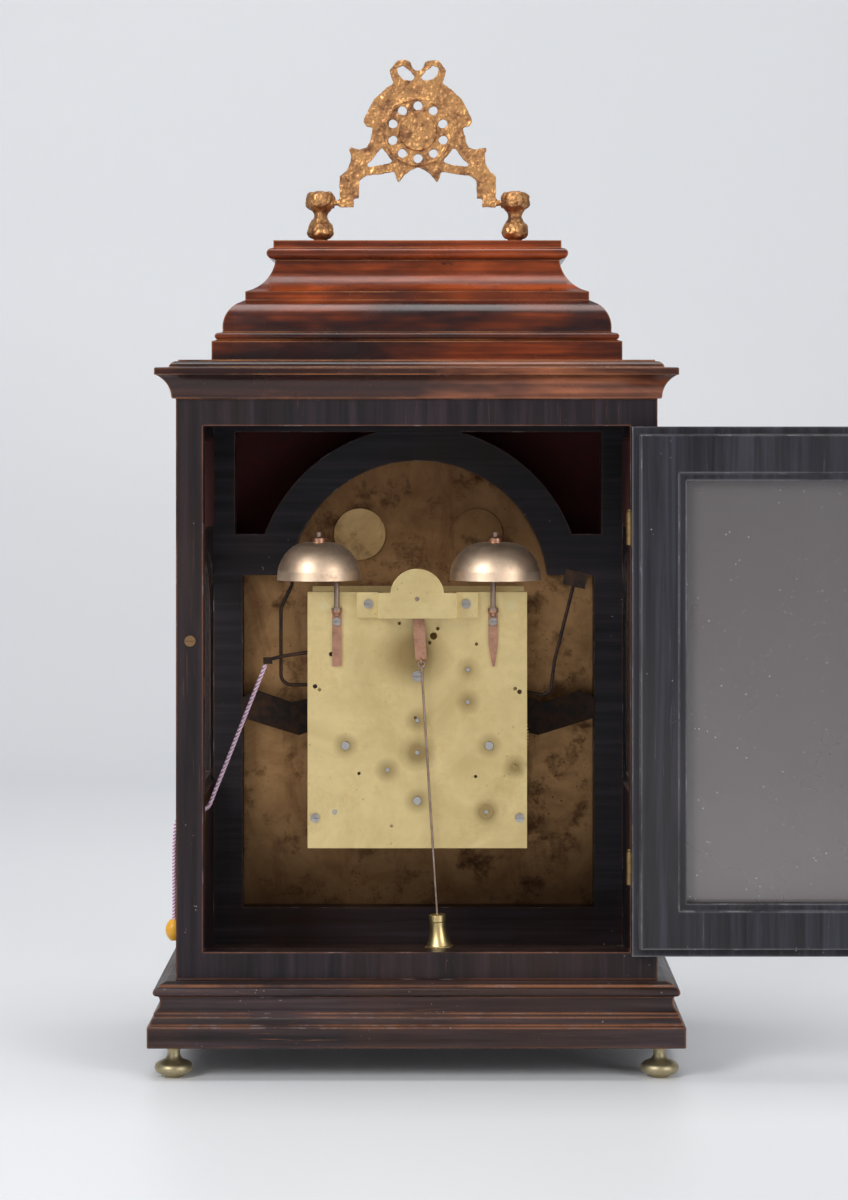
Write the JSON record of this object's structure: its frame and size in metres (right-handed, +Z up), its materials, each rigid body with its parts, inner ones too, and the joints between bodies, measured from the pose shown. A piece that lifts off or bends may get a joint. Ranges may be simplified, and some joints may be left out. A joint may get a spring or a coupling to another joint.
{
  "type": "bracket clock",
  "caption": "Ebonised bracket clock seen from behind: glazed rear door open, brass movement with bells and pendulum, pierced handle on a moulded bell top.",
  "frame": {"origin": "on the table, under the middle of the whole clock with its rear door open", "axes": "+Z up, -Y out of the dial, +Y out of the rear door, +X to the side the pull cord comes out of"},
  "size_m": [0.4924, 0.207, 0.5625],
  "materials": {
    "ebonised_wood": "satin",
    "figured_veneer": "gloss",
    "plain_boards": "matte",
    "aged_brass": "satin",
    "gilt_brass": "satin",
    "plate_brass": "satin",
    "wheel_brass": "polished",
    "dial_brass": "matte",
    "bell_metal": "satin",
    "silvered_ring": "satin",
    "steel": "satin",
    "dark_iron": "matte",
    "blued_steel": "gloss",
    "glass": "gloss",
    "cord": "matte",
    "bead": "gloss"
  },
  "bodies": {
    "case": {"base_plinth": "ebonised_wood", "side_panel_left": "ebonised_wood", "side_panel_right": "ebonised_wood", "rear_frame": "ebonised_wood", "dial_mask_frame": "ebonised_wood", "cornice": "figured_veneer", "bell_top": "figured_veneer", "floor_and_roof": "plain_boards", "turned_feet": "aged_brass", "hinge_case_leaves": "aged_brass", "side_frets": "aged_brass", "handle_pillars": "gilt_brass", "dial_spandrels": "gilt_brass", "back_plate": "plate_brass", "front_plate": "plate_brass", "plate_pillars": "plate_brass", "escapement_cocks": "plate_brass", "dial_plate": "dial_brass", "strike_bells": "bell_metal", "chapter_ring": "silvered_ring", "screws_and_nuts": "steel", "hinge_pins": "steel", "bell_stands": "steel", "movement_brackets": "dark_iron", "side_windows": "glass", "pull_cord": "cord"},
    "back_door": {"back_door_frame": "ebonised_wood", "back_door_glass": "glass", "back_door_beading": "ebonised_wood", "back_door_leaves": "aged_brass", "back_door_lock": "aged_brass"},
    "front_door": {"front_door_frame": "ebonised_wood", "front_door_glass": "glass", "front_door_sight": "aged_brass", "front_door_mounts": "aged_brass", "front_door_leaves": "aged_brass"},
    "handle": {"carrying_handle": "gilt_brass"},
    "hours": {"hour_hand": "blued_steel", "hour_wheel": "wheel_brass"},
    "minutes": {"minute_hand": "blued_steel", "cannon_wheel": "wheel_brass"},
    "minute_arbor": {"minute_wheel": "wheel_brass"},
    "centre": {"centre_wheel": "wheel_brass"},
    "intermediate": {"intermediate_wheel": "wheel_brass"},
    "contrate": {"contrate_wheel": "wheel_brass"},
    "crown": {"crown_wheel": "wheel_brass"},
    "pendulum": {"verge": "steel", "pendulum_rod": "steel", "pendulum_bob": "plate_brass"},
    "going_fusee_arbor": {"going_fusee": "wheel_brass"},
    "going_barrel_arbor": {"going_barrel": "wheel_brass"},
    "strike_fusee_arbor": {"strike_fusee": "wheel_brass"},
    "strike_barrel_arbor": {"strike_barrel": "wheel_brass"},
    "pin_arbor": {"pin_wheel": "wheel_brass"},
    "fly_arbor": {"fly": "wheel_brass"},
    "hour_strike": {"large_hammer": "dark_iron"},
    "quarter_strike": {"small_hammer": "dark_iron"},
    "repeat": {"repeat_lever": "dark_iron"},
    "bead": {"cord_bead": "bead"},
    "pointer": {"strike_silent_pointer": "blued_steel"}
  },
  "joints": [
    {"name": "back_door_swing", "type": "hinge", "parent": "case", "child": "back_door", "pos_m": [-0.01485, 0.0835, 0.21], "axis": [0, 0, -1], "range_deg": [0, 180]},
    {"name": "front_door_swing", "type": "hinge", "parent": "case", "child": "front_door", "pos_m": [0.23415, -0.0713, 0.21], "axis": [0, 0, 1], "range_deg": [0, 120]},
    {"name": "handle_swing", "type": "hinge", "parent": "case", "child": "handle", "pos_m": [0.1009, -0.004, 0.4805], "axis": [1, 0, 0], "range_deg": [-100, 100]},
    {"name": "minute_spin", "type": "hinge", "parent": "case", "child": "minutes", "pos_m": [0.1009, -0.004, 0.171], "axis": [0, 1, 0], "continuous": true},
    {"name": "hour_spin", "type": "hinge", "parent": "case", "child": "hours", "pos_m": [0.1009, -0.004, 0.171], "axis": [0, 1, 0], "continuous": true},
    {"name": "minute_wheel_spin", "type": "hinge", "parent": "case", "child": "minute_arbor", "pos_m": [0.1009, -0.004, 0.1443], "axis": [0, 1, 0], "continuous": true},
    {"name": "contrate_spin", "type": "hinge", "parent": "case", "child": "contrate", "pos_m": [0.1009, -0.004, 0.189], "axis": [0, 1, 0], "continuous": true},
    {"name": "centre_spin", "type": "hinge", "parent": "case", "child": "centre", "pos_m": [0.1009, -0.004, 0.171], "axis": [0, 1, 0], "continuous": true},
    {"name": "intermediate_spin", "type": "hinge", "parent": "case", "child": "intermediate", "pos_m": [0.11758, -0.004, 0.16139], "axis": [0, 1, 0], "continuous": true},
    {"name": "going_fusee_spin", "type": "hinge", "parent": "case", "child": "going_fusee_arbor", "pos_m": [0.1409, -0.004, 0.175], "axis": [0, 1, 0], "continuous": true},
    {"name": "going_barrel_spin", "type": "hinge", "parent": "case", "child": "going_barrel_arbor", "pos_m": [0.1469, -0.004, 0.138], "axis": [0, 1, 0], "continuous": true},
    {"name": "crown_spin", "type": "hinge", "parent": "case", "child": "crown", "pos_m": [0.1009, -0.00445, 0.24], "axis": [0, 0, 1], "continuous": true},
    {"name": "pin_wheel_spin", "type": "hinge", "parent": "case", "child": "pin_arbor", "pos_m": [0.07265, -0.004, 0.1993], "axis": [0, 1, 0], "continuous": true},
    {"name": "strike_fusee_spin", "type": "hinge", "parent": "case", "child": "strike_fusee_arbor", "pos_m": [0.0609, -0.004, 0.175], "axis": [0, 1, 0], "continuous": true},
    {"name": "strike_barrel_spin", "type": "hinge", "parent": "case", "child": "strike_barrel_arbor", "pos_m": [0.0625, -0.004, 0.138], "axis": [0, 1, 0], "continuous": true},
    {"name": "fly_spin", "type": "hinge", "parent": "case", "child": "fly_arbor", "pos_m": [0.07265, -0.004, 0.2173], "axis": [0, 1, 0], "continuous": true},
    {"name": "pendulum_swing", "type": "hinge", "parent": "case", "child": "pendulum", "pos_m": [0.1009, -0.004, 0.2573], "axis": [0, 1, 0], "range_deg": [-13.6, 6.4]},
    {"name": "hour_hammer_swing", "type": "hinge", "parent": "case", "child": "hour_strike", "pos_m": [0.0439, -0.004, 0.205], "axis": [0, 1, 0], "range_deg": [-6, 10.5], "stiffness_Nm_per_rad": 0.3},
    {"name": "quarter_hammer_swing", "type": "hinge", "parent": "case", "child": "quarter_strike", "pos_m": [0.1579, -0.004, 0.208], "axis": [0, 1, 0], "range_deg": [-10, 0.8], "stiffness_Nm_per_rad": 0.3},
    {"name": "bead_pull", "type": "slide", "parent": "case", "child": "bead", "axis": [0, 0, -1], "range_m": [0, 0.012], "stiffness_N_per_m": 40, "deforming": ["pull_cord"]},
    {"name": "repeat_lever_swing", "type": "hinge", "parent": "case", "child": "repeat", "pos_m": [0.1489, -0.004, 0.226], "axis": [0, 1, 0], "range_deg": [0, 18.6]},
    {"name": "strike_silent_turn", "type": "hinge", "parent": "case", "child": "pointer", "pos_m": [0.1351, -0.048, 0.2904], "axis": [0, 1, 0], "range_deg": [-60, 60]}
  ],
  "couplings": [
    {"joint": "hour_spin", "follows": "minute_spin", "ratio": 0.083333},
    {"joint": "minute_wheel_spin", "follows": "minute_spin", "ratio": -0.5},
    {"joint": "centre_spin", "follows": "contrate_spin", "ratio": -0.125},
    {"joint": "intermediate_spin", "follows": "contrate_spin", "ratio": 0.020833},
    {"joint": "going_fusee_spin", "follows": "contrate_spin", "ratio": -0.0032051},
    {"joint": "going_barrel_spin", "follows": "contrate_spin", "ratio": -0.0026709},
    {"joint": "crown_spin", "follows": "contrate_spin", "ratio": 6},
    {"joint": "strike_fusee_spin", "follows": "pin_wheel_spin", "ratio": -0.15385},
    {"joint": "strike_barrel_spin", "follows": "pin_wheel_spin", "ratio": -0.12821},
    {"joint": "fly_spin", "follows": "pin_wheel_spin", "ratio": -8},
    {"joint": "repeat_lever_swing", "follows": "bead_pull", "rad_per_m": 26.667}
  ]
}
